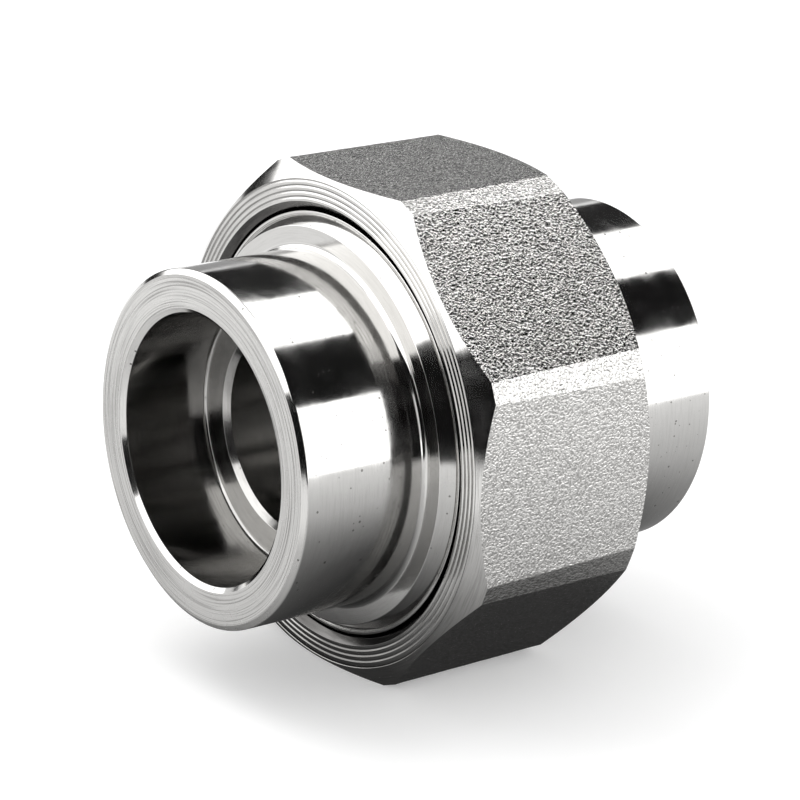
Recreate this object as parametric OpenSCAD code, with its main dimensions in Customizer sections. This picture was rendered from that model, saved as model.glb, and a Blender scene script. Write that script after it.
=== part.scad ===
// Socket weld union in forged stainless steel: a threaded end and a tail piece,
// drawn together on a ball-and-cone seat by an eight-sided union nut.
// The axis is X, from the threaded end to the tail piece. The origin is on the axis at
// mid-length, and the nut stands on one of its flats, square to Z. Millimetres.

/* [Weld hubs] */
// Inside diameter of the two pipe sockets
socket_d = 33.9; // [30:0.1:38]
// Wall of both weld hubs round their sockets
hub_wall = 5.4; // [4.5:0.1:6.5]
// Depth of each pipe socket, from the hub's face to the ledge
socket_depth = 12.45; // [10.5:0.05:13.5]
// Diameter of the flow passage
flow_d = 24.8; // [22:0.1:28]
// Bevel where the ledge breaks into the flow passage
ledge_bevel = 0.75; // [0.3:0.05:1.2]
// Length of the bevel on the outer edge of each hub's face
face_bevel_len = 0.5; // [0.2:0.05:0.8]
// Height of that bevel
face_bevel_h = 0.7; // [0.3:0.05:1.2]
// Length of the bevel at the mouth of each socket
mouth_bevel_len = 0.5; // [0.2:0.05:0.8]
// Height of that bevel
mouth_bevel_h = 0.65; // [0.3:0.05:1.2]
// Fillet in the bottom corner of each socket
socket_fillet = 0.5; // [0.2:0.1:1]

/* [Threaded end] */
// Length of the near hub, from its face to the shoulder
near_hub_len = 17.65; // [15.5:0.05:19.5]
// Fillet where each hub meets its shoulder
hub_fillet = 0.7; // [0.4:0.05:0.9]
// Width of the flat ring on the shoulder, outside the hub
shoulder_w = 2.75; // [2:0.05:4]
// Length of the bevel outside that ring
shoulder_bevel_len = 1.65; // [1:0.05:2.5]
// Height of that bevel
shoulder_bevel_h = 1.1; // [0.6:0.05:1.8]
// Width of the narrow ring face outside that bevel
crest_ring_w = 0.55; // [0.4:0.05:0.65]
// Width and depth of the fine groove at the foot of that ring face
line_groove = 0.18; // [0.1:0.02:0.3]
// How far the thread's crests stand above the bevel's outer edge
thread_rise = 0.9; // [0.7:0.05:1.4]
// Length of the plain neck between the ring face and the thread
neck_len = 1.5; // [0.8:0.1:2.5]
// Bevel on the thread's inner end
thread_bevel = 1.2; // [0.6:0.1:1.8]

/* [Union nut] */
// Wall of the nut between the thread's roots and the flats
nut_wall = 4.22; // [3.5:0.02:6]
// Length of the nut
nut_len = 26.8; // [25:0.1:29]
// How far the shoulder stands proud of the nut's near face
shoulder_proud = 0.95; // [0.5:0.05:1.5]
// Width of the blunted corners at the nut's near end
near_blunt_w = 2.55; // [1.5:0.05:4]
// Width of the blunted corners at the nut's far end
far_blunt_w = 3.65; // [1.5:0.05:5]
// How far each turned end face stays inside the flats
crown_inset = 0.55; // [0.3:0.01:0.9]
// Slope of the turned crowns, in degrees from the end faces
crown_angle = 38; // [30:1:45]
// Bevel at the nut's threaded mouth
nut_mouth_bevel = 0.85; // [0.4:0.01:1.2]
// Thickness of the lip that draws the tail piece in
lip_t = 5; // [4:0.1:6.5]
// Bevel on both edges of the lip's hole
lip_bevel = 1; // [0.95:0.05:1.4]
// Length of the undercut between the thread and the lip
undercut_len = 4.4; // [3:0.1:6]
// Depth of that undercut below the thread's roots
undercut_depth = 0.4; // [0.2:0.1:0.8]
// Number of turned grooves in the near face
groove_count = 4; // [3:1:5]
// Width of each turned groove
groove_w = 0.5; // [0.3:0.05:0.55]
// Depth of each turned groove
groove_depth = 0.22; // [0.1:0.02:0.4]

/* [Tail piece] */
// Length of the whole union, face to face
union_len = 63.1; // [61:0.1:69]
// How far the flange stays inside the thread's crests
flange_drop = 1.5; // [1.3:0.05:2]
// Bevel on both edges of the flange
flange_bevel = 0.4; // [0.2:0.05:0.8]
// Thickness of that flange
flange_t = 5; // [4:0.1:6]
// Radius of the ground ball on the nose
ball_r = 22.6; // [21.5:0.1:24]
// Width of the nose where it leaves the flange, outside the flow passage
nose_w = 6.8; // [5.5:0.1:8]
// Flat left at the tip of the nose, round the flow passage
nose_land = 0.8; // [0.5:0.1:1.2]
// Half angle of the cone seat in the threaded end
seat_angle = 45; // [42:1:48]

/* [Clearances] */
// Radial clearance of the nut over the thread
thread_gap = 0.08; // [0.03:0.01:0.1]
// Radial clearance of the lip over the tail piece's hub
lip_gap = 0.1; // [0.04:0.01:0.1]
// Clearance between the ground ball and its cone
seat_gap = 0.06; // [0.03:0.01:0.1]
// Clearance between the lip and the flange
draw_gap = 0.05; // [0.03:0.01:0.1]
// Space left between the flange and the threaded end's inner face
end_space = 0.6; // [0.3:0.1:1]

/* [Hidden] */
$fn = 96;
sides = 8;
half_turn = 180 / sides;
// Overshoot of a cutting tool past the face it starts from
over = 1;

// Radii, from the flow passage outwards
flow_r = flow_d / 2;
nose_r = flow_r + nose_w;
socket_r = socket_d / 2;
hub_r = socket_r + hub_wall;
shoulder_r = hub_r + shoulder_w;
crest_ring_r = shoulder_r + shoulder_bevel_h;
neck_r = crest_ring_r + crest_ring_w;
thread_r = crest_ring_r + thread_rise;
flange_r = thread_r - flange_drop;
bore_r = thread_r + thread_gap;
flat_r = bore_r + nut_wall;

// Stations along the axis
near_face_x = -union_len / 2;
far_face_x = union_len / 2;
shoulder_x = near_face_x + near_hub_len;
crest_x = shoulder_x + shoulder_bevel_len;
nut_near_x = shoulder_x + shoulder_proud;
nut_far_x = nut_near_x + nut_len;
lip_x = nut_far_x - lip_t;
flange_back_x = lip_x - draw_gap;
flange_front_x = flange_back_x - flange_t;
inner_face_x = flange_front_x - end_space;

// Ball and cone seat
ball_x = flange_front_x + sqrt(ball_r * ball_r - nose_r * nose_r);
tip_r = flow_r + nose_land;
nose_tip_x = ball_x - sqrt(ball_r * ball_r - tip_r * tip_r);
seat_r = (ball_r + seat_gap) * cos(seat_angle);
seat_x = ball_x - (ball_r + seat_gap) * sin(seat_angle);

// Nut
mouth_r = bore_r + nut_mouth_bevel;
lip_r = hub_r + lip_gap;
crown_r = flat_r - crown_inset;
blank_r = flat_r / cos(half_turn) + over;
crown_len = (blank_r - crown_r) * tan(crown_angle);
groove_pitch = (crown_r - mouth_r) / (groove_count + 0.2);

// Distance from the axis to a blunted corner of width w
function blunt_r(w) = (flat_r - w / 2 * sin(half_turn)) / cos(half_turn);

// Points on an arc round [r, x], from angle a to angle b
function arc(centre, radius, a, b, steps = 6) =
    [for (i = [0 : steps]) let (t = a + (b - a) * i / steps)
        [centre[0] + radius * cos(t), centre[1] + radius * sin(t)]];

// Radius of the cone seat at station x
function cone_r(x) = seat_r + (x - seat_x) * tan(seat_angle);

// Turns an outline of [radius, x] points about the X axis
module turned(outline) {
    rotate([0, 90, 0])
        rotate_extrude()
            polygon(outline);
}

// The tool that bores one pipe socket, its ledge and its half of the flow passage,
// from the hub's face at station x
module socket_bore(x) {
    turned(concat(
        [[0, x - over],
         [socket_r + mouth_bevel_h, x - over],
         [socket_r + mouth_bevel_h, x],
         [socket_r, x + mouth_bevel_len]],
        arc([socket_r - socket_fillet, x + socket_depth - socket_fillet], socket_fillet, 0, 90),
        [[flow_r + ledge_bevel, x + socket_depth],
         [flow_r, x + socket_depth + ledge_bevel],
         [flow_r, union_len / 2],
         [0, union_len / 2]]));
}

// The tool that cuts the cone seat and opens the flow passage into it
module seat_bore() {
    turned([[0, seat_x - seat_r / tan(seat_angle)],
            [cone_r(inner_face_x + over), inner_face_x + over],
            [0, inner_face_x + over]]);
}

// Near hub, shoulder and thread, turned from one forging, with the cone seat inside
module threaded_end() {
    color("silver")
        difference() {
            turned(concat(
                [[0, near_face_x],
                 [hub_r - face_bevel_h, near_face_x],
                 [hub_r, near_face_x + face_bevel_len]],
                arc([hub_r + hub_fillet, shoulder_x - hub_fillet], hub_fillet, 180, 90),
                [[shoulder_r, shoulder_x],
                 [crest_ring_r, crest_x],
                 [crest_ring_r, crest_x + line_groove],
                 [crest_ring_r + line_groove, crest_x + line_groove],
                 [crest_ring_r + line_groove, crest_x],
                 [neck_r, crest_x],
                 [neck_r, crest_x + neck_len],
                 [thread_r, crest_x + neck_len + thread_r - neck_r],
                 [thread_r, inner_face_x - thread_bevel],
                 [thread_r - thread_bevel, inner_face_x],
                 [0, inner_face_x]]));
            socket_bore(near_face_x);
            seat_bore();
        }
}

// Eight flats whose corners are blunted on planes that taper towards the far end
module nut_forging() {
    taper = atan((blunt_r(near_blunt_w) - blunt_r(far_blunt_w)) / nut_len);
    difference() {
        translate([nut_near_x, 0, 0])
            rotate([0, 90, 0])
                linear_extrude(height = nut_len)
                    rotate(half_turn)
                        circle(r = flat_r / cos(half_turn), $fn = sides);
        for (i = [0 : sides - 1])
            rotate([(2 * i + 1) * half_turn, 0, 0])
                translate([nut_near_x, 0, blunt_r(near_blunt_w)])
                    rotate([0, taper, 0])
                        translate([-nut_len, -flat_r / 2, 0])
                            cube([3 * nut_len, flat_r, flat_r]);
    }
}

// Both turned ends of the nut, with their crowns and the grooves in the near face
module nut_turning() {
    grooves = [for (i = [groove_count - 1 : -1 : 0]) let (r = crown_r - (i + 0.5) * groove_pitch)
        each [[r - groove_w / 2, nut_near_x],
              [r, nut_near_x + groove_depth],
              [r + groove_w / 2, nut_near_x]]];
    turned(concat(
        [[0, nut_near_x]],
        grooves,
        [[crown_r, nut_near_x],
         [blank_r, nut_near_x + crown_len],
         [blank_r, nut_far_x - crown_len],
         [crown_r, nut_far_x],
         [0, nut_far_x]]));
}

// The tool that bores the nut: threaded mouth, undercut and the hole through the lip
module nut_bore() {
    turned([[0, nut_near_x - over],
            [mouth_r + over, nut_near_x - over],
            [bore_r, nut_near_x + nut_mouth_bevel],
            [bore_r, lip_x - undercut_len],
            [bore_r + undercut_depth, lip_x - undercut_len + undercut_depth],
            [bore_r + undercut_depth, lip_x],
            [lip_r + lip_bevel, lip_x],
            [lip_r, lip_x + lip_bevel],
            [lip_r, nut_far_x - lip_bevel],
            [lip_r + lip_bevel + over, nut_far_x + over],
            [0, nut_far_x + over]]);
}

// Forged octagonal nut, turned at both ends and bored for the thread
module union_nut() {
    color("darkgray")
        difference() {
            intersection() {
                nut_forging();
                nut_turning();
            }
            nut_bore();
        }
}

// Far hub, flange and ball nose, turned from one forging
module tail_piece() {
    color("gainsboro")
        difference() {
            union() {
                turned(concat(
                    [[0, flange_front_x],
                     [flange_r - flange_bevel, flange_front_x],
                     [flange_r, flange_front_x + flange_bevel],
                     [flange_r, flange_back_x - flange_bevel],
                     [flange_r - flange_bevel, flange_back_x]],
                    arc([hub_r + hub_fillet, flange_back_x + hub_fillet], hub_fillet, 270, 180),
                    [[hub_r, far_face_x - face_bevel_len],
                     [hub_r - face_bevel_h, far_face_x],
                     [0, far_face_x]]));
                intersection() {
                    translate([ball_x, 0, 0])
                        sphere(r = ball_r);
                    translate([nose_tip_x, 0, 0])
                        rotate([0, 90, 0])
                            cylinder(r = nose_r, h = flange_front_x - nose_tip_x + over);
                }
            }
            mirror([1, 0, 0])
                socket_bore(near_face_x);
        }
}

threaded_end();
union_nut();
tail_piece();
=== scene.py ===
import math

import bpy
import numpy as np
from mathutils import Matrix, Vector, noise


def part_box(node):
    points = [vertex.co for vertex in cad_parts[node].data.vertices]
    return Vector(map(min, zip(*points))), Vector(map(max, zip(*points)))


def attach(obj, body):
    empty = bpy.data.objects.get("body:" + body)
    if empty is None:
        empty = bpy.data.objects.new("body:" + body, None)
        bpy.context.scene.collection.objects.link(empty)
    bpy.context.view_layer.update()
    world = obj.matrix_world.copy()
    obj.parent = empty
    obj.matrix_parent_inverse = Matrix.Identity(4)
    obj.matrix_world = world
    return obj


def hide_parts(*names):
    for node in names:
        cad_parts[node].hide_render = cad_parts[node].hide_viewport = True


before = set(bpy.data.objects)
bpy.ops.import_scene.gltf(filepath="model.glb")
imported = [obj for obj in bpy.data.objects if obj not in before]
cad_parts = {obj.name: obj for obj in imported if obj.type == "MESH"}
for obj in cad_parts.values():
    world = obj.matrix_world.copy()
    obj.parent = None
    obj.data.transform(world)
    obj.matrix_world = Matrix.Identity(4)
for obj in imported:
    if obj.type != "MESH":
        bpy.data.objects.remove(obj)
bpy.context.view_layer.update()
bpy.context.scene.view_settings.view_transform = "Standard"

# One millimetre, in the frame's metres
mm = 0.001

# The photograph's camera: angles in degrees, the picture in pixels, the sensor in millimetres,
# the rest in metres
VIEW_AZIMUTH = -37.35
VIEW_ELEVATION = 18.97
VIEW_ROLL = 2.06
FOCAL_PIXELS = 3587.5
PICTURE_PIXELS = 800
SENSOR = 36
AIM_X = 10.77 * mm
AIM_RIGHT = 9.456 * mm
AIM_UP = 0.919 * mm
VIEW_DISTANCE = 459.0 * mm
CLIP_START = 0.02

# Sizes read from the frame
near_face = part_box("threaded_end")[0][0] / mm
inner_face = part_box("threaded_end")[1][0] / mm
thread_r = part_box("threaded_end")[1][1] / mm
nut_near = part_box("union_nut")[0][0] / mm
nut_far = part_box("union_nut")[1][0] / mm
flat_r = -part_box("union_nut")[0][2] / mm
nose_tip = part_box("tail_piece")[0][0] / mm
far_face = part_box("tail_piece")[1][0] / mm
flange_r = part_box("tail_piece")[1][1] / mm

# Weld hubs, in millimetres
SOCKET_R = 16.95
HUB_WALL = 5.4
HUB_R = SOCKET_R + HUB_WALL
SOCKET_DEPTH = 12.45
FLOW_R = 12.4
LEDGE_BEVEL = 0.75
FACE_BEVEL_LEN = 0.5
FACE_BEVEL_H = 0.7
MOUTH_BEVEL_LEN = 0.5
MOUTH_BEVEL_H = 0.65

# Threaded end
SHOULDER_X = near_face + 17.65
SHOULDER_R = HUB_R + 2.75
CREST_X = SHOULDER_X + 1.65
CREST_RING_R = SHOULDER_R + 1.1
LINE_GROOVE = 0.18
NECK_R = CREST_RING_R + 0.55
NECK_END = CREST_X + 1.5
THREAD_BEVEL = 1.2
SEAT_MOUTH_R = 19.52
SEAT_SLOPE = 1.0

# Thread: 11 turns to the inch, right-handed
PITCH = 25.4 / 11
THREAD_DEPTH = 1.2
CREST_SHARE = 0.15
ROOT_SHARE = 0.25
THREAD_START = NECK_END + thread_r - NECK_R
THREAD_FADE = 1.5
FLANK_GAP = 0.06
TIP_GAP = 0.08
NUT_THREAD_START = nut_near + 4.0

# Union nut
BORE_R = thread_r + TIP_GAP
NUT_MOUTH_BEVEL = 0.85
NEAR_BLUNT = 2.55
FAR_BLUNT = 3.65
CROWN_R = flat_r - 0.55
CROWN_ANGLE = math.radians(38)
LIP_T = 5
LIP_BEVEL = 1
LIP_R = HUB_R + 0.1
UNDERCUT_LEN = 4.4
UNDERCUT_DEPTH = 0.4
GROOVES = 4
GROOVE_LAND = 0.28
GROOVE_DEPTH = 0.095

# Tail piece
LIP_PLAY = 0.05
FLANGE_T = 5
FLANGE_BACK = nut_far - LIP_T - LIP_PLAY
FLANGE_FRONT = FLANGE_BACK - FLANGE_T
BALL_R = 22.6
NOSE_R = 19.2
NOSE_LAND = 0.8

# Fillets, in millimetres
EDGE_FILLET = 0.1
SOCKET_FILLET = 0.5
LEDGE_FILLET = 0.08
HUB_FILLET = 0.7
NEAR_FACE_FILLET = 0.25
NEAR_HUB_FILLET = 0.3
FAR_FACE_FILLET = 0.12
FAR_HUB_FILLET = 0.14
SHOULDER_FILLET = 0.12
LINE_FILLET = 0.04
SEAT_FILLET = 0.15
FLANGE_FILLET = 0.4
UNDERCUT_FILLET = 0.3
NUT_MOUTH_FILLET = 0.06
GROOVE_FILLET = 0.04
LAND_FILLET = 0.03

# Mesh steps: counts, an angle in radians, and lengths in millimetres
RING_STEPS = 320
RING_ANGLES = np.arange(RING_STEPS) * 2 * math.pi / RING_STEPS
BALL_STEPS = 14
ARC_STEP = math.radians(18)
GUARD = 0.04
FACE_GUARD = 0.3
THREAD_STEP = 0.21
SIDES = 8
FLAT_STEPS = 58
CORNER_STEPS = 10
BODY_ROWS = 56
CROWN_ROWS = 5
EDGE_ROUNDS = 6
EDGE_GUARD = 0.12
EDGE_FADE = 0.5
FLAT_W = 22.9

# Studio: distances in metres, and radiances, of which 1 is the white world's
FLOOR_HALF = 3.0
FLOOR_LIFT = 0.3
SHEETS = 0.9
LOW_SHEETS = 0.2
TOP_FLAG = 0.85
GAPS = 1.0
BACK_DUSK = 1.1
BACK_WALL = 0.5
WHITE = 2.7
TOP_FLAG_TONE = 0.12
FRONT_GAP_TONE = 0.012
CAMERA_GAP_TONE = 0.008
BACK_GAP_TONE = 0.03
BACK_DUSK_TONE = 0.19
BACK_WALL_TONE = 0.42
SHADE_TONE = 0.03
PANEL_STEPS = 26
FADE_STEPS = 5
PAPER_COLOUR = "#e6e6e6"
LAMP_SIZE = 0.6
LAMP_ENERGY = 3.0
LAMP_PLACE = (-0.25, 0.35, 0.9)

# Painted shade under the object, mirrored by its underside: its middle and height in millimetres,
# and pairs of distance and cover
SHADE_X = 8
SHADE_Y = 2
SHADE_LIFT = 0.05
SHADE_SQUEEZE = 0.87
SHADE_STEPS = 48
SHADE = ((28, 0.97), (35, 0.9), (39, 0.83), (44, 0.76), (50, 0.68), (59, 0.56), (66, 0.48),
         (75, 0.41), (98, 0.31), (125, 0.23), (200, 0.1), (350, 0.0))

# White cards on the floor: how much of them fades at each edge
CARD_FADE = 0.3

# Turned surfaces, in millimetres: the length of a wave, and the spacing and depth of the pits
WAVE = 3.5
PIT_SPACING = 0.8
PIT_DEPTH = 0.02
PIT_COLOUR = "#83827f"

# Turned surfaces: how far a ring's place counts outwards for each step along the axis, the draw
# above which a spot is a pit, the part of the rings' range over which the painted shade in the
# rings' bottoms fades out, and the part of the waves' range over which the roughness goes from its
# lowest to its highest share
RING_SPREAD = 1.37
PIT_DRAW = 0.6
RING_SHADE_RANGE = (0.38, 0.52)
DULL_RANGE = (0.35, 0.7)
DULL_SHARES = (0.75, 1.5)

# Forged grain: sizes in millimetres, the noise's warp, the range over which the hollows' painted
# shade gives way to the ridges' colour, and colours
GRAIN = 0.31
GRAIN_HEIGHT = 0.115
GRAIN_WARP = 0.5
GRAIN_SHADE_RANGE = (0.4, 0.56)
HOLLOW_SHADE_COLOUR = "#a3a2a0"
RIDGE_COLOUR = "#c9c8c6"
FORGED_ROUGHNESS = 0.17
HUMP = 0.8
HUMP_HEIGHT = 0.05


def linear(hex_colour):
    """Turns an sRGB colour such as #c8c8c8 into the linear values that a shader takes."""
    channels = [int(hex_colour[i:i + 2], 16) / 255 for i in (1, 3, 5)]
    return [c / 12.92 if c <= 0.04045 else ((c + 0.055) / 1.055) ** 2.4 for c in channels] + [1]


def add(tree, kind, inputs=None, **settings):
    """Adds a node to a tree: settings are its properties, and inputs its values or links."""
    made = tree.nodes.new(kind)
    for name, value in settings.items():
        setattr(made, name, value)
    for socket, value in (inputs or {}).items():
        if isinstance(value, bpy.types.NodeSocket):
            tree.links.new(value, made.inputs[socket])
        else:
            made.inputs[socket].default_value = value
    return made


def put_in_scene(name, data):
    """A new object that shows a mesh, a camera or a light."""
    made = bpy.data.objects.new(name, data)
    bpy.context.scene.collection.objects.link(made)
    return made


def new_material(name):
    """An empty material, with its output node."""
    material = bpy.data.materials.new(name)
    material.use_nodes = True
    material.node_tree.nodes.clear()
    output = add(material.node_tree, "ShaderNodeOutputMaterial")
    return material, material.node_tree, output


def steel_surface(tree, output, colour, roughness, height):
    """Bare stainless steel whose surface stands up by the height socket, in metres. Its colour and
    roughness are either one value or a socket that varies over the surface."""
    bump = add(tree, "ShaderNodeBump", {"Strength": 1.0, "Distance": 1.0, "Height": height})
    shader = add(tree, "ShaderNodeBsdfPrincipled",
                 {"Base Color": colour, "Metallic": 1.0, "Roughness": roughness,
                  "Normal": bump.outputs[0]})
    tree.links.new(shader.outputs[0], output.inputs["Surface"])


def turned_stainless(name, colour, ring_shade_colour, roughness, ring_pitch, ring_break, ring_height,
                     wave_height, wave_stretch, pit_share):
    """Stainless steel turned on a lathe: fine rings round the axis that break off after a while, a
    slight waviness that may be stretched along the axis, and scattered pits, the largest with the
    given share of their spacing. The rings' bottoms take a darker colour, which is painted shade in
    the rings' hollows. Lengths in mm."""
    material, tree, output = new_material(name)
    place = add(tree, "ShaderNodeTexCoord").outputs["Object"]
    split = add(tree, "ShaderNodeSeparateXYZ", {0: place})
    across = add(tree, "ShaderNodeVectorMath", {0: place, 1: (0, 1, 1)}, operation="MULTIPLY")
    radius = add(tree, "ShaderNodeVectorMath", {0: across.outputs[0]}, operation="LENGTH")
    travel = add(tree, "ShaderNodeMath",
                 {0: radius.outputs["Value"], 1: RING_SPREAD, 2: split.outputs[0]},
                 operation="MULTIPLY_ADD")
    step = add(tree, "ShaderNodeMath", {0: travel.outputs[0], 1: 1 / (ring_pitch * mm)},
               operation="MULTIPLY")
    drift = add(tree, "ShaderNodeVectorMath", {0: place, "Scale": 1 / (ring_break * mm)},
                operation="SCALE")
    rings = add(tree, "ShaderNodeTexNoise",
                {"Vector": drift.outputs[0], "W": step.outputs[0], "Scale": 1.0, "Detail": 2.0},
                noise_dimensions="4D")
    stretched = add(tree, "ShaderNodeVectorMath", {0: place, 1: (1 / wave_stretch, 1, 1)},
                    operation="MULTIPLY")
    waves = add(tree, "ShaderNodeTexNoise",
                {"Vector": stretched.outputs[0], "Scale": 1 / (WAVE * mm), "Detail": 2.0})
    spots = add(tree, "ShaderNodeTexVoronoi", {"Vector": place, "Scale": 1 / (PIT_SPACING * mm)})
    chosen = add(tree, "ShaderNodeSeparateColor", {0: spots.outputs["Color"]})
    size = add(tree, "ShaderNodeMapRange",
               {"Value": chosen.outputs[0], "From Min": PIT_DRAW, "From Max": 1.0, "To Min": 0.0,
                "To Max": pit_share})
    pits = add(tree, "ShaderNodeMath", {0: spots.outputs["Distance"], 1: size.outputs[0]},
               operation="LESS_THAN")
    sunk = add(tree, "ShaderNodeMath", {0: pits.outputs[0], 1: -PIT_DEPTH * mm},
               operation="MULTIPLY")
    fine = add(tree, "ShaderNodeMath",
               {0: rings.outputs["Fac"], 1: ring_height * mm, 2: sunk.outputs[0]},
               operation="MULTIPLY_ADD")
    height = add(tree, "ShaderNodeMath",
                 {0: waves.outputs["Fac"], 1: wave_height * mm, 2: fine.outputs[0]},
                 operation="MULTIPLY_ADD")
    # Painted shade: the rings' bottoms are darkened towards the darker colour
    ring_shade = add(tree, "ShaderNodeMapRange",
                {"Value": rings.outputs["Fac"], "From Min": RING_SHADE_RANGE[0],
                 "From Max": RING_SHADE_RANGE[1]})
    shaded_tint = add(tree, "ShaderNodeMix",
               {0: ring_shade.outputs[0], 6: linear(ring_shade_colour), 7: linear(colour)}, data_type="RGBA")
    dull = add(tree, "ShaderNodeMapRange",
               {"Value": waves.outputs["Fac"], "From Min": DULL_RANGE[0], "From Max": DULL_RANGE[1],
                "To Min": roughness * DULL_SHARES[0], "To Max": roughness * DULL_SHARES[1]})
    spotted = add(tree, "ShaderNodeMix",
                  {0: pits.outputs[0], 6: shaded_tint.outputs[2], 7: linear(PIT_COLOUR)}, data_type="RGBA")
    steel_surface(tree, output, spotted.outputs[2], dull.outputs[0], height.outputs[0])
    return material


def forged_stainless(name):
    """Forged stainless steel, shot-blasted: a coarse grain of hollows and ridges all over, with
    painted shade darkening the hollows.
    """
    material, tree, output = new_material(name)
    place = add(tree, "ShaderNodeTexCoord").outputs["Object"]
    grain = add(tree, "ShaderNodeTexNoise",
                {"Vector": place, "Scale": 1 / (GRAIN * mm), "Detail": 1.0,
                 "Distortion": GRAIN_WARP})
    height = add(tree, "ShaderNodeMath", {0: grain.outputs["Fac"], 1: GRAIN_HEIGHT * mm},
                 operation="MULTIPLY")
    # Painted shade: the grain's hollows take the darker colour, its ridges the steel's own
    ridge_share = add(tree, "ShaderNodeMapRange",
               {"Value": grain.outputs["Fac"], "From Min": GRAIN_SHADE_RANGE[0],
                "From Max": GRAIN_SHADE_RANGE[1]})
    shaded_tint = add(tree, "ShaderNodeMix",
               {0: ridge_share.outputs[0], 6: linear(HOLLOW_SHADE_COLOUR), 7: linear(RIDGE_COLOUR)},
               data_type="RGBA")
    steel_surface(tree, output, shaded_tint.outputs[2], FORGED_ROUGHNESS, height.outputs[0])
    return material


# Name, colour, colour of the painted shade in the rings' bottoms, roughness, ring pitch, break and
# height, wave height and stretch, pits
TURNED = {
    "hub": ("finish_turned", "#c6c5c3", "#c0bfbd", 0.1, 0.14, 3, 0.0006, 0.014, 1, 0.22),
    "face": ("faced", "#cccbc9", "#9b9a98", 0.22, 0.17, 16, 0.008, 0.012, 1, 0.22),
    # Painted shade: the bore colour darkens the sockets and flow bores inside
    "bore": ("bored", "#a5a4a2", "#9a9997", 0.16, 0.2, 4, 0.003, 0.04, 6, 0.15),
    "crown": ("crown_turned", "#c6c5c3", "#b6b5b3", 0.12, 0.2, 4, 0.0015, 0.008, 1, 0),
    # The groove colour is painted shade on one wall of each groove in the near face
    "groove": ("groove_turned_shaded", "#969593", "#8a8987", 0.14, 0.2, 4, 0.003, 0.008, 1, 0),
    # Painted shade: the relief colour darkens the neck and the nut's mouth bevel
    "relief": ("relief_turned_shaded", "#626160", "#575655", 0.16, 0.2, 4, 0.003, 0.008, 1, 0),
    # Painted shade: the thread colour darkens the threads inside the nut
    "thread": ("thread_cut_shaded", "#a3a2a0", "#8e8d8b", 0.22, 0.1, 4, 0.002, 0.002, 1, 0),
    "seat": ("seat_ground", "#cccbc9", "#c6c5c3", 0.06, 0.06, 4, 0.0003, 0.001, 1, 0),
}
FINISHES = {finish: turned_stainless("stainless_" + values[0], *values[1:])
            for finish, values in TURNED.items()}
FINISHES["forged"] = forged_stainless("stainless_forged_blasted")


def rounded(corners):
    """Rounds the corners of a closed outline. A corner is (x, radius, fillet, finish), and the
    result is a list of (x, radius, finish) with each arc's points and a guard point beside it."""
    count = len(corners)
    legs = []
    for i, (x, r, fillet, finish) in enumerate(corners):
        here = Vector((x, r))
        back = (Vector(corners[i - 1][:2]) - here).normalized()
        on = (Vector(corners[(i + 1) % count][:2]) - here).normalized()
        half = back.angle(on) / 2
        reach = fillet / math.tan(half) if fillet else 0
        legs.append((here, back, on, half, reach))
    points = []
    for i, (x, r, fillet, finish) in enumerate(corners):
        if not fillet:
            points.append((x, r, finish))
            continue
        here, back, on, half, reach = legs[i]
        before = corners[i - 1][3]
        behind = legs[i - 1]
        ahead = legs[(i + 1) % count]
        room_back = (behind[0] - here).length - reach - behind[4]
        room_on = (ahead[0] - here).length - reach - ahead[4]
        centre = here + (back + on).normalized() * fillet / math.sin(half)
        start = here + back * reach - centre
        end = here + on * reach - centre
        turn = math.pi - 2 * half
        steps = max(2, math.ceil(turn / ARC_STEP))
        if room_back > 3 * GUARD:
            guard = here + back * (reach + GUARD)
            points.append((guard.x, guard.y, before))
        for k in range(steps + 1):
            share = k / steps
            swing = start * math.sin((1 - share) * turn) + end * math.sin(share * turn)
            spot = centre + swing / math.sin(turn)
            points.append((spot.x, spot.y, before if k < steps / 2 else finish))
        if room_on > 3 * GUARD:
            guard = here + on * (reach + GUARD)
            points.append((guard.x, guard.y, finish))
    return points


def ring(x, r, angles):
    """A ring of points at station x; r is one radius or one for each angle."""
    r = np.broadcast_to(r, angles.shape)
    x = np.broadcast_to(x, angles.shape)
    return np.stack([x, r * np.cos(angles), r * np.sin(angles)], axis=1)


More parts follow.
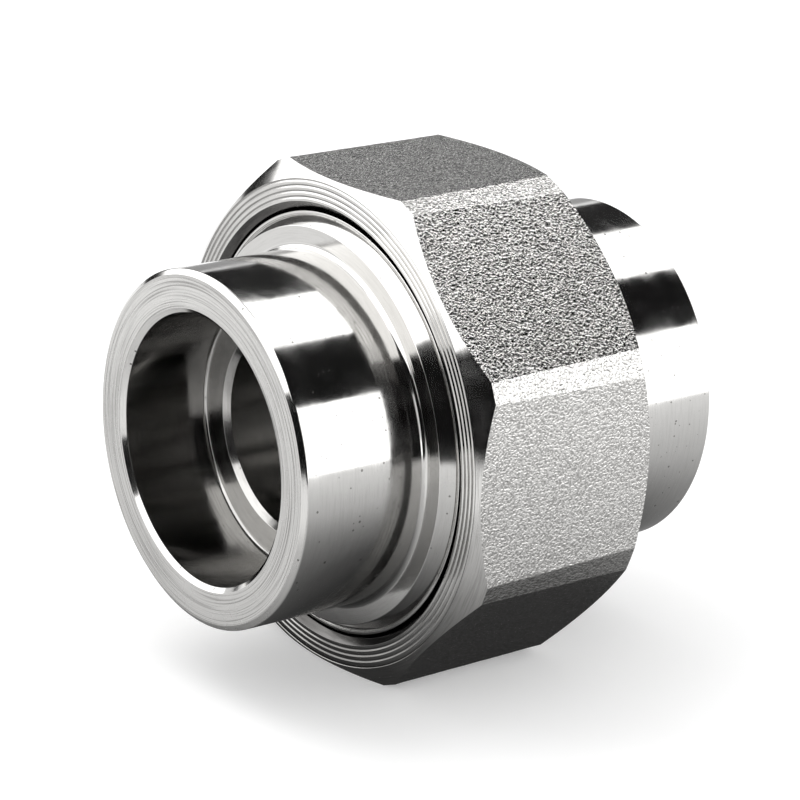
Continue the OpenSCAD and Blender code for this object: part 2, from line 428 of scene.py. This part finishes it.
def loft(name, rings, finishes, sharp=()):
    """Skins a closed series of rings, in millimetres. Each finish covers the strip from its ring
    to the next. Where one ring has half the points of its neighbour, triangles join the two."""
    starts = np.cumsum([0] + [len(r) for r in rings])
    verts = np.concatenate(rings) * mm
    faces = []
    slots = []
    names = sorted(set(finishes))
    for i, finish in enumerate(finishes):
        j = (i + 1) % len(rings)
        a, b = len(rings[i]), len(rings[j])
        n = min(a, b)
        k = np.arange(n)
        lower = starts[i]
        upper = starts[j]
        if a == b:
            strip = [(lower + p, lower + (p + 1) % n, upper + (p + 1) % n, upper + p) for p in k]
        elif a > b:
            strip = []
            for p in k:
                strip.append((lower + 2 * p, lower + 2 * p + 1, upper + p))
                strip.append((lower + 2 * p + 1, upper + (p + 1) % n, upper + p))
                strip.append((lower + 2 * p + 1, lower + (2 * p + 2) % a, upper + (p + 1) % n))
        else:
            strip = []
            for p in k:
                strip.append((upper + 2 * p, lower + p, upper + 2 * p + 1))
                strip.append((upper + 2 * p + 1, lower + p, lower + (p + 1) % n))
                strip.append((upper + 2 * p + 1, lower + (p + 1) % n, upper + (2 * p + 2) % b))
        faces += strip
        slots += [names.index(finish)] * len(strip)
    mesh = bpy.data.meshes.new(name)
    mesh.from_pydata(verts.tolist(), [], faces)
    mesh.polygons.foreach_set("material_index", slots)
    mesh.polygons.foreach_set("use_smooth", [True] * len(faces))
    for finish in names:
        mesh.materials.append(FINISHES[finish])
    ring_of = np.repeat(np.arange(len(rings)), [len(r) for r in rings])
    ends = np.empty(len(mesh.edges) * 2, dtype=np.int32)
    mesh.edges.foreach_get("vertices", ends)
    ends = ring_of[ends.reshape(-1, 2)]
    crisp = (ends[:, 0] == ends[:, 1]) & np.isin(ends[:, 0], list(sharp))
    mesh.edges.foreach_set("use_edge_sharp", crisp)
    mesh.update()
    return put_in_scene(name, mesh)


def turn_outwards(piece):
    """Turns the faces of a closed piece outwards."""
    mesh = piece.data
    corners = np.empty(len(mesh.vertices) * 3)
    mesh.vertices.foreach_get("co", corners)
    corners = corners.reshape(-1, 3)
    mesh.calc_loop_triangles()
    tris = np.empty(len(mesh.loop_triangles) * 3, dtype=np.int32)
    mesh.loop_triangles.foreach_get("vertices", tris)
    a, b, c = (corners[tris.reshape(-1, 3)[:, k]] for k in range(3))
    volume = np.einsum("ij,ij->i", a, np.cross(b, c)).sum() / 6
    if volume < 0:
        mesh.flip_normals()
    size = round(abs(volume) / mm ** 3, 1)
    print(piece.name, "volume", size, "mm3,", len(mesh.loop_triangles), "triangles")


def place_piece(piece, node):
    """Puts a detailed piece in its node's stead, on the node's body."""
    turn_outwards(piece)
    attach(piece, node)
    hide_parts(node)


def thread_profile(x, angles, crest_share):
    """How far the thread's groove is cut, from 0 on the crest to 1 at the root, at station x."""
    turns = (x / PITCH - angles / (2 * math.pi)) % 1
    from_crest = np.abs(turns - 0.5)
    flank = (1 - CREST_SHARE - ROOT_SHARE) / 2
    return np.clip((from_crest - crest_share / 2) / flank, 0, 1)


def even(start, end, step):
    """Stations from start to end, both included, about one step apart."""
    count = max(1, round((end - start) / step))
    return [start + (end - start) * k / count for k in range(count + 1)]


def build_threaded_end():
    """Near hub, shoulder and thread, with the cone seat and the socket inside."""
    seat_x = inner_face - (SEAT_MOUTH_R - FLOW_R) * SEAT_SLOPE
    ledge = near_face + SOCKET_DEPTH
    bevel = inner_face - THREAD_BEVEL
    outer = [
        (near_face, SOCKET_R + MOUTH_BEVEL_H, EDGE_FILLET, "face"),
        (near_face, HUB_R - FACE_BEVEL_H, NEAR_FACE_FILLET, "hub"),
        (near_face + FACE_BEVEL_LEN, HUB_R, NEAR_HUB_FILLET, "hub"),
        (SHOULDER_X, HUB_R, HUB_FILLET, "hub"),
        (SHOULDER_X, SHOULDER_R, SHOULDER_FILLET, "hub"),
        (CREST_X, CREST_RING_R, LINE_FILLET, "hub"),
        (CREST_X + LINE_GROOVE, CREST_RING_R, 0, "hub"),
        (CREST_X + LINE_GROOVE, CREST_RING_R + LINE_GROOVE, 0, "hub"),
        (CREST_X, CREST_RING_R + LINE_GROOVE, LINE_FILLET, "hub"),
        # The neck takes the relief finish, whose dark colour is painted shade
        (CREST_X, NECK_R, SHOULDER_FILLET, "relief"),
        (NECK_END, NECK_R, 0, "relief"),
    ]
    outer += [(x, thread_r, 0, "thread") for x in even(THREAD_START, bevel, THREAD_STEP)]
    outer += [(x, thread_r - (x - bevel), 0, "thread")
              for x in even(bevel, inner_face, THREAD_STEP)[1:]]
    inner = [
        (inner_face, SEAT_MOUTH_R, EDGE_FILLET, "seat"),
        (seat_x, FLOW_R, SEAT_FILLET, "bore"),
        (ledge + LEDGE_BEVEL, FLOW_R, LEDGE_FILLET, "bore"),
        (ledge, FLOW_R + LEDGE_BEVEL, LEDGE_FILLET, "bore"),
        (ledge, SOCKET_R, SOCKET_FILLET, "bore"),
        (near_face + MOUTH_BEVEL_LEN, SOCKET_R, EDGE_FILLET, "hub"),
    ]
    rings = []
    finishes = []
    for x, r, finish in rounded(outer + inner):
        if finish == "thread" and x > THREAD_START:
            fade = min(1, (x - THREAD_START) / THREAD_FADE)
            cut = thread_r - THREAD_DEPTH * fade * thread_profile(x, RING_ANGLES, CREST_SHARE)
            r = np.minimum(r, cut)
        rings.append(ring(x, r, RING_ANGLES))
        finishes.append(finish)
    place_piece(loft("turned_threaded_end", rings, finishes), "threaded_end")


def build_tail_piece():
    """Far hub, flange and ball nose, with the socket and the flow passage inside."""
    ball_x = FLANGE_FRONT + math.sqrt(BALL_R ** 2 - NOSE_R ** 2)
    tip_r = FLOW_R + NOSE_LAND
    tip_angle = math.asin(tip_r / BALL_R)
    nose_angle = math.asin(NOSE_R / BALL_R)
    ledge = far_face - SOCKET_DEPTH
    ball = [(ball_x - BALL_R * math.cos(a), BALL_R * math.sin(a), 0, "seat")
            for a in np.linspace(tip_angle, nose_angle, BALL_STEPS)]
    corners = ball + [
        (FLANGE_FRONT, flange_r, FLANGE_FILLET, "hub"),
        (FLANGE_BACK, flange_r, FLANGE_FILLET, "hub"),
        (FLANGE_BACK, HUB_R, HUB_FILLET, "hub"),
        (far_face - FACE_BEVEL_LEN, HUB_R, FAR_HUB_FILLET, "hub"),
        (far_face, HUB_R - FACE_BEVEL_H, FAR_FACE_FILLET, "face"),
        (far_face, SOCKET_R + MOUTH_BEVEL_H, EDGE_FILLET, "hub"),
        (far_face - MOUTH_BEVEL_LEN, SOCKET_R, EDGE_FILLET, "bore"),
        (ledge, SOCKET_R, SOCKET_FILLET, "bore"),
        (ledge, FLOW_R + LEDGE_BEVEL, LEDGE_FILLET, "bore"),
        (ledge - LEDGE_BEVEL, FLOW_R, LEDGE_FILLET, "bore"),
        (nose_tip, FLOW_R, EDGE_FILLET, "seat"),
    ]
    points = rounded(corners)
    rings = [ring(x, r, RING_ANGLES) for x, r, finish in points]
    finishes = [finish for x, r, finish in points]
    place_piece(loft("turned_tail_piece", rings, finishes), "tail_piece")


def nut_columns():
    """The nut's columns of points: for each, whether it lies on a blunted corner, its place
    across that flat or corner from -1 to 1, and the angle that it faces from +Y."""
    half = math.pi / SIDES
    flat = [2 * EDGE_GUARD / FLAT_W - 1] + list(np.linspace(-1, 1, FLAT_STEPS)[1:-1])
    flat += [1 - 2 * EDGE_GUARD / FLAT_W, 1]
    corner = [2 * EDGE_GUARD / FAR_BLUNT - 1] + list(np.linspace(-1, 1, CORNER_STEPS)[1:-1])
    corner += [1 - 2 * EDGE_GUARD / FAR_BLUNT, 1]
    on_corner = np.array([False] * len(flat) + [True] * len(corner))
    across = np.array(flat + corner)
    faces = (np.arange(SIDES) * 2 * half)[:, None] + half * on_corner[None, :]
    return np.tile(on_corner, SIDES), np.tile(across, SIDES), faces.ravel()


def nut_surface(x, columns):
    """Distance from the axis, and angle from +Y, of the nut's forged surface at station x."""
    half = math.pi / SIDES
    on_corner, across, facing = columns
    width = NEAR_BLUNT + (FAR_BLUNT - NEAR_BLUNT) * (x - nut_near) / (nut_far - nut_near)
    corner_r = (flat_r - width / 2 * math.sin(half)) / math.cos(half)
    flat_half = (corner_r - flat_r * math.cos(half)) / math.sin(half)
    sideways = np.where(on_corner, width / 2, flat_half) * across
    outwards = np.where(on_corner, corner_r, flat_r)
    return np.hypot(outwards, sideways), np.arctan2(sideways, outwards) + facing


def grain_depth(points):
    """How deep each point, in millimetres, lies in the humps and hollows of the forged skin."""
    hollows = [0.5 - 0.5 * noise.noise(Vector(spot)) for spot in points / HUMP]
    return np.array(hollows) * HUMP_HEIGHT


def nut_outside(columns):
    """Rings of the near crown, the forged body and the far crown, with their finishes and the
    numbers of the rings on the crisp edges."""
    slope = math.tan(CROWN_ANGLE)
    near_edge = nut_near
    far_edge = nut_far
    for _ in range(EDGE_ROUNDS):
        near_edge = nut_near + (nut_surface(near_edge, columns)[0] - CROWN_R) * slope
        far_edge = nut_far - (nut_surface(far_edge, columns)[0] - CROWN_R) * slope
    near_r, near_angle = nut_surface(near_edge, columns)
    far_r, far_angle = nut_surface(far_edge, columns)
    rings = []
    finishes = []
    for share in np.linspace(0, 1, CROWN_ROWS + 1)[:-1]:
        rings.append(ring(nut_near + (near_edge - nut_near) * share,
                          CROWN_R + (near_r - CROWN_R) * share, near_angle))
        finishes.append("crown")
    near_ring = len(rings)
    for share in np.linspace(0, 1, BODY_ROWS + 1):
        x = near_edge + (far_edge - near_edge) * share
        reach, angle = nut_surface(x, columns)
        fade = np.clip(np.minimum(x - near_edge, far_edge - x) / EDGE_FADE, 0, 1)
        reach = reach - grain_depth(ring(x, reach, angle)) * fade
        rings.append(ring(x, reach, angle))
        finishes.append("forged")
    far_ring = len(rings) - 1
    finishes[-1] = "crown"
    for share in np.linspace(1, 0, CROWN_ROWS + 1)[1:]:
        rings.append(ring(nut_far + (far_edge - nut_far) * share,
                          CROWN_R + (far_r - CROWN_R) * share, far_angle))
        finishes.append("crown")
    return rings, finishes, [0, near_ring, far_ring, len(rings) - 1], near_angle


def nut_inside():
    """Outline of the far face, the lip, the thread and the grooved near face."""
    lip_x = nut_far - LIP_T
    thread_end = lip_x - UNDERCUT_LEN
    mouth_r = BORE_R + NUT_MOUTH_BEVEL
    pitch = (CROWN_R - mouth_r) / GROOVES
    corners = [
        (nut_far, CROWN_R - FACE_GUARD, 0, "face"),
        (nut_far, LIP_R + LIP_BEVEL, EDGE_FILLET, "crown"),
        (nut_far - LIP_BEVEL, LIP_R, EDGE_FILLET, "crown"),
        (lip_x + LIP_BEVEL, LIP_R, EDGE_FILLET, "crown"),
        (lip_x, LIP_R + LIP_BEVEL, EDGE_FILLET, "crown"),
        (lip_x, BORE_R + UNDERCUT_DEPTH, UNDERCUT_FILLET, "crown"),
        (thread_end + UNDERCUT_DEPTH, BORE_R + UNDERCUT_DEPTH, UNDERCUT_FILLET, "crown"),
    ]
    corners += [(x, BORE_R, 0, "thread")
                for x in even(NUT_THREAD_START, thread_end, THREAD_STEP)[::-1]]
    corners += [
        # The mouth bevel takes the relief finish, whose dark colour is painted shade
        (nut_near + NUT_MOUTH_BEVEL, BORE_R, NUT_MOUTH_FILLET, "relief"),
        (nut_near, mouth_r, NUT_MOUTH_FILLET, "crown"),
    ]
    for i in range(GROOVES):
        r = mouth_r + i * pitch
        if i:
            corners.append((nut_near, r, LAND_FILLET, "crown"))
        valley_r = r + (GROOVE_LAND + pitch) / 2
        corners.append((nut_near, r + GROOVE_LAND, GROOVE_FILLET, "crown"))
        # From each valley outwards the wall takes the groove finish, whose darker colour is painted
        # shade
        corners.append((nut_near + GROOVE_DEPTH, valley_r, GROOVE_FILLET, "groove"))
    return corners


def build_union_nut():
    """Forged eight-sided nut, turned at both ends, grooved on its near face and threaded."""
    columns = nut_columns()
    rings, finishes, sharp, angles = nut_outside(columns)
    angles = angles[::2]
    thread_end = nut_far - LIP_T - UNDERCUT_LEN
    tip_share = ROOT_SHARE - 2 * FLANK_GAP / PITCH
    for x, r, finish in rounded(nut_inside()):
        if finish == "thread":
            rise = min(THREAD_DEPTH, x - NUT_THREAD_START, thread_end - x)
            ridge = 1 - thread_profile(x + PITCH / 2, angles, tip_share)
            r = BORE_R - np.minimum(np.maximum(rise, 0), THREAD_DEPTH * ridge)
        rings.append(ring(x, r, angles))
        finishes.append(finish)
    place_piece(loft("forged_union_nut", rings, finishes, sharp), "union_nut")


def view_axes():
    """The photograph's view as the camera's right, up and backward directions."""
    azimuth = math.radians(VIEW_AZIMUTH)
    elevation = math.radians(VIEW_ELEVATION)
    roll = math.radians(VIEW_ROLL)
    back = Vector((math.sin(azimuth) * math.cos(elevation),
                   -math.cos(azimuth) * math.cos(elevation), math.sin(elevation)))
    level = Vector((0, 0, 1)).cross(back).normalized()
    upright = back.cross(level)
    right = level * math.cos(roll) + upright * math.sin(roll)
    return right, back.cross(right), back


def add_camera():
    """The camera at the photograph's angle, distance and framing."""
    right, up, back = view_axes()
    camera = bpy.data.cameras.new("camera")
    camera.sensor_width = SENSOR
    camera.lens = FOCAL_PIXELS / PICTURE_PIXELS * SENSOR
    camera.clip_start = CLIP_START
    holder = put_in_scene("camera", camera)
    spot = Vector((AIM_X, 0, 0)) - right * AIM_RIGHT - up * AIM_UP + back * VIEW_DISTANCE
    holder.matrix_world = Matrix.Translation(spot) @ Matrix((right, up, back)).transposed().to_4x4()
    bpy.context.scene.camera = holder


def add_world():
    """A plain white studio all round."""
    world = bpy.data.worlds.new("white_studio")
    world.use_nodes = True
    background = world.node_tree.nodes["Background"]
    background.inputs["Color"].default_value = linear("#ffffff")
    background.inputs["Strength"].default_value = 1.0
    bpy.context.scene.world = world


def add_floor():
    """A matt white floor that the nut's lowest flat stands on. What the camera and the metal see
    of it is lifted to white, and the object's shadow stays on it."""
    mesh = bpy.data.meshes.new("floor")
    low = -flat_r * mm
    edge = FLOOR_HALF
    corners = [(-edge, -edge, low), (edge, -edge, low), (edge, edge, low), (-edge, edge, low)]
    mesh.from_pydata(corners, [], [(0, 1, 2, 3)])
    material, tree, output = new_material("matt_white_paper")
    path = add(tree, "ShaderNodeLightPath")
    seen = add(tree, "ShaderNodeMath",
               {0: path.outputs["Is Camera Ray"], 1: path.outputs["Is Glossy Ray"]},
               operation="MAXIMUM")
    seen = add(tree, "ShaderNodeMath", {0: seen.outputs[0], 1: path.outputs["Is Transmission Ray"]},
               operation="MAXIMUM")
    lift = add(tree, "ShaderNodeMath", {0: seen.outputs[0], 1: FLOOR_LIFT}, operation="MULTIPLY")
    paper = add(tree, "ShaderNodeBsdfDiffuse", {"Color": linear(PAPER_COLOUR)})
    glow = add(tree, "ShaderNodeEmission",
               {"Color": linear("#ffffff"), "Strength": lift.outputs[0]})
    both = add(tree, "ShaderNodeAddShader", {0: paper.outputs[0], 1: glow.outputs[0]})
    tree.links.new(both.outputs[0], output.inputs["Surface"])
    material.cycles.emission_sampling = "NONE"
    mesh.materials.append(material)
    put_in_scene("floor", mesh)


def round_axis(ring_angle, lean):
    """A direction by its angle round the object's axis, in degrees from straight up towards the
    front, and its lean along the axis: how far it goes in X for one step away from the axis."""
    turn = math.radians(ring_angle)
    return Vector((lean, -math.sin(turn), math.cos(turn))).normalized()


def ring_edge(*places):
    """A panel's edge: directions by pairs of an angle round the object's axis and a lean."""
    return [round_axis(ring_angle, lean) for ring_angle, lean in places]


def compass(azimuth, elevation):
    """A direction by its angle round Z, in degrees from +X towards +Y, and its height."""
    turn = math.radians(azimuth)
    rise = math.radians(elevation)
    return Vector((math.cos(turn) * math.cos(rise), math.sin(turn) * math.cos(rise),
                   math.sin(rise)))


def level_edge(start, end, elevation):
    """A panel's edge: the directions at two azimuths and one height."""
    return [compass(azimuth, elevation) for azimuth in (start, end)]


def fade_in(share, width):
    """A smooth rise from 0 at an edge to 1 at the given width inside it."""
    t = min(1, share / width) if width else 1
    return t * t * (3 - 2 * t)


def fade_steps(start, end):
    """Shares from 0 to 1 that are close together where a panel fades in and out."""
    steps = {0.0, 1.0, *np.linspace(start, 1 - end, PANEL_STEPS)}
    steps.update(start * k / FADE_STEPS for k in range(1, FADE_STEPS))
    steps.update(1 - end * k / FADE_STEPS for k in range(1, FADE_STEPS))
    return sorted(round(share, 5) for share in steps)


def add_panel(name, distance, radiance, edge, other_edge, ends, sides):
    """A curved sheet round the object, between two edges that are lists of directions. It is seen
    only in the metal. Its two ends and its two sides fade over the given shares of the sheet."""
    along = fade_steps(*ends)
    across = fade_steps(*sides)
    verts = []
    cover = []
    for s in along:
        place = s * (len(edge) - 1)
        k = min(int(place), len(edge) - 2)
        a = edge[k].slerp(edge[k + 1], place - k)
        b = other_edge[k].slerp(other_edge[k + 1], place - k)
        for t in across:
            verts.append(a.slerp(b, t) * distance)
            cover.append(fade_in(s, ends[0]) * fade_in(1 - s, ends[1])
                         * fade_in(t, sides[0]) * fade_in(1 - t, sides[1]))
    place_card(name, verts, grid(len(along), len(across)), cover, radiance)


def grid(rows, columns):
    """The faces of a grid of points."""
    return [(i * columns + j, i * columns + j + 1, (i + 1) * columns + j + 1, (i + 1) * columns + j)
            for i in range(rows - 1) for j in range(columns - 1)]


def place_card(name, verts, faces, cover, radiance):
    """Makes a card from a mesh and its cover, which is 0 where the card is clear and 1 where it is
    solid, and keeps it out of the picture and off the floor's light."""
    mesh = bpy.data.meshes.new(name)
    mesh.from_pydata(verts, [], faces)
    mesh.attributes.new("cover", "FLOAT", "POINT").data.foreach_set("value", cover)
    material, tree, output = new_material(name + "_card")
    solid = add(tree, "ShaderNodeAttribute", attribute_name="cover")
    clear = add(tree, "ShaderNodeBsdfTransparent")
    white = add(tree, "ShaderNodeEmission", {"Color": linear("#ffffff"), "Strength": radiance})
    mix = add(tree, "ShaderNodeMixShader",
              {0: solid.outputs["Fac"], 1: clear.outputs[0], 2: white.outputs[0]})
    tree.links.new(mix.outputs[0], output.inputs["Surface"])
    material.cycles.emission_sampling = "NONE"
    mesh.materials.append(material)
    card = put_in_scene(name, mesh)
    card.visible_camera = False
    card.visible_diffuse = False
    card.visible_shadow = False
    card.visible_transmission = False


def add_shade():
    """Painted shade under the object that its underside mirrors: a dark card just over the floor,
    seen only in the metal, whose cover falls with the distance from its middle, a little faster
    along the object's axis."""
    verts = []
    cover = []
    for reach, seen in SHADE:
        for k in range(SHADE_STEPS):
            turn = 2 * math.pi * k / SHADE_STEPS
            verts.append(((SHADE_X + SHADE_SQUEEZE * reach * math.cos(turn)) * mm,
                          (SHADE_Y + reach * math.sin(turn)) * mm, (-flat_r + SHADE_LIFT) * mm))
            cover.append(seen)
    faces = [tuple(range(SHADE_STEPS))]
    for i in range(len(SHADE) - 1):
        for k in range(SHADE_STEPS):
            on = (k + 1) % SHADE_STEPS
            faces.append((i * SHADE_STEPS + k, i * SHADE_STEPS + on,
                          (i + 1) * SHADE_STEPS + on, (i + 1) * SHADE_STEPS + k))
    place_card("painted_under_shade", verts, faces, cover, SHADE_TONE)


def add_floor_card(name, x, y, lift, radiance):
    """A pale card on the floor beside the object, which its near faces mirror. Its x and y are
    ranges and its lift is a height, all in millimetres."""
    shares = fade_steps(CARD_FADE, CARD_FADE)
    verts = []
    cover = []
    for s in shares:
        for t in shares:
            verts.append(((x[0] + (x[1] - x[0]) * s) * mm, (y[0] + (y[1] - y[0]) * t) * mm,
                          (lift - flat_r) * mm))
            cover.append(fade_in(s, CARD_FADE) * fade_in(1 - s, CARD_FADE)
                         * fade_in(t, CARD_FADE) * fade_in(1 - t, CARD_FADE))
    place_card(name, verts, grid(len(shares), len(shares)), cover, radiance)


def add_lamp():
    """One soft overhead lamp, which gives the object its shadow on the floor."""
    lamp = bpy.data.lights.new("overhead_softbox", "AREA")
    lamp.shape = "SQUARE"
    lamp.size = LAMP_SIZE
    lamp.energy = LAMP_ENERGY
    holder = put_in_scene("overhead_softbox", lamp)
    holder.location = LAMP_PLACE
    holder.rotation_euler = Vector(holder.location).to_track_quat("Z", "Y").to_euler()
    holder.visible_glossy = False


def add_studio():
    """White sheets over and in front of the object, with dark gaps between them: the bright and
    dark bands that polished steel mirrors."""
    add_panel("overhead_sheet", SHEETS, WHITE,
              ring_edge((-55, -3.2), (-70, -2), (-80, -1), (-82, -0.3), (-80, -0.16), (-78, -0.05),
                        (-74, 0.12), (-25, 0.6), (-25, 0.69), (-29.8, 0.72), (-29.8, 3)),
              ring_edge((13, -3.2), (30, -2.6), (38.5, -2.35), (37, -1.3), (35.5, -0.58),
                        (31, -0.27), (23, 0.0), (13, 0.6), (13, 0.69), (11.8, 0.72), (11.8, 3)),
              ends=(0.05, 0.05), sides=(0.015, 0.01))
    add_panel("top_flag", TOP_FLAG, TOP_FLAG_TONE,
              ring_edge((-38, -0.02), (-34, 0.42)),
              ring_edge((-8, -0.02), (6, 0.42)),
              ends=(0.1, 0.05), sides=(0.06, 0.06))
    add_panel("front_sheet", SHEETS, WHITE,
              ring_edge((53.2, 0.15), (53.2, 0.69), (52, 0.72), (52, 3)),
              ring_edge((92, 0.15), (92, 0.69), (92, 0.72), (92, 3)),
              ends=(0.05, 0.1), sides=(0.01, 0))
    add_panel("front_sheet_low", LOW_SHEETS, WHITE,
              level_edge(256, 340, 4),
              level_edge(256, 340, -3.8),
              ends=(0.05, 0.1), sides=(0, 0.12))
    add_panel("front_gap", GAPS, FRONT_GAP_TONE,
              ring_edge((0, -0.3), (0, 3)),
              ring_edge((60, -0.3), (60, 3)),
              ends=(0, 0.1), sides=(0, 0))
    add_panel("camera_gap", GAPS, CAMERA_GAP_TONE,
              ring_edge((5, -4.6), (5, -3.0), (20, -2.35), (20, -1.3), (20, -0.27)),
              ring_edge((100, -4.6), (100, -3.0), (96, -2.35), (94, -1.3), (93, -0.27)),
              ends=(0.1, 0), sides=(0, 0))
    add_panel("camera_gap_low", LOW_SHEETS, CAMERA_GAP_TONE,
              level_edge(182, 255, 4),
              level_edge(182, 255, -7.2),
              ends=(0.1, 0.02), sides=(0, 0.2))
    add_panel("back_gap", GAPS, BACK_GAP_TONE,
              ring_edge((-90, -0.16), (-90.5, 0), (-91, 0.1), (-72, 0.6), (-72, 0.9), (-72, 1.6),
                        (-72, 3)),
              ring_edge((-70, -0.16), (-60, 0), (-50, 0.14), (-15, 0.6), (-15, 0.9), (-15, 1.6),
                        (-15, 3)),
              ends=(0.01, 0.2), sides=(0.06, 0))
    add_panel("back_dusk", BACK_DUSK, BACK_DUSK_TONE,
              ring_edge((-112, 0.14), (-112, 0.57)),
              ring_edge((-66, 0.14), (-66, 0.57)),
              ends=(0.1, 0.05), sides=(0.1, 0.05))
    add_panel("back_wall", BACK_WALL, BACK_WALL_TONE,
              ring_edge((-96, 0.42), (-96, 3)),
              ring_edge((-72, 0.42), (-72, 3)),
              ends=(0.1, 0.1), sides=(0.15, 0.3))
    add_shade()
    add_floor_card("left_floor_card", x=(-190, -55), y=(-120, 35), lift=0.1, radiance=1.3)
    add_floor_card("back_floor_card", x=(-120, -25), y=(-10, 120), lift=0.15, radiance=0.95)


add_camera()
add_world()
add_floor()
add_lamp()
add_studio()
build_threaded_end()
build_union_nut()
build_tail_piece()
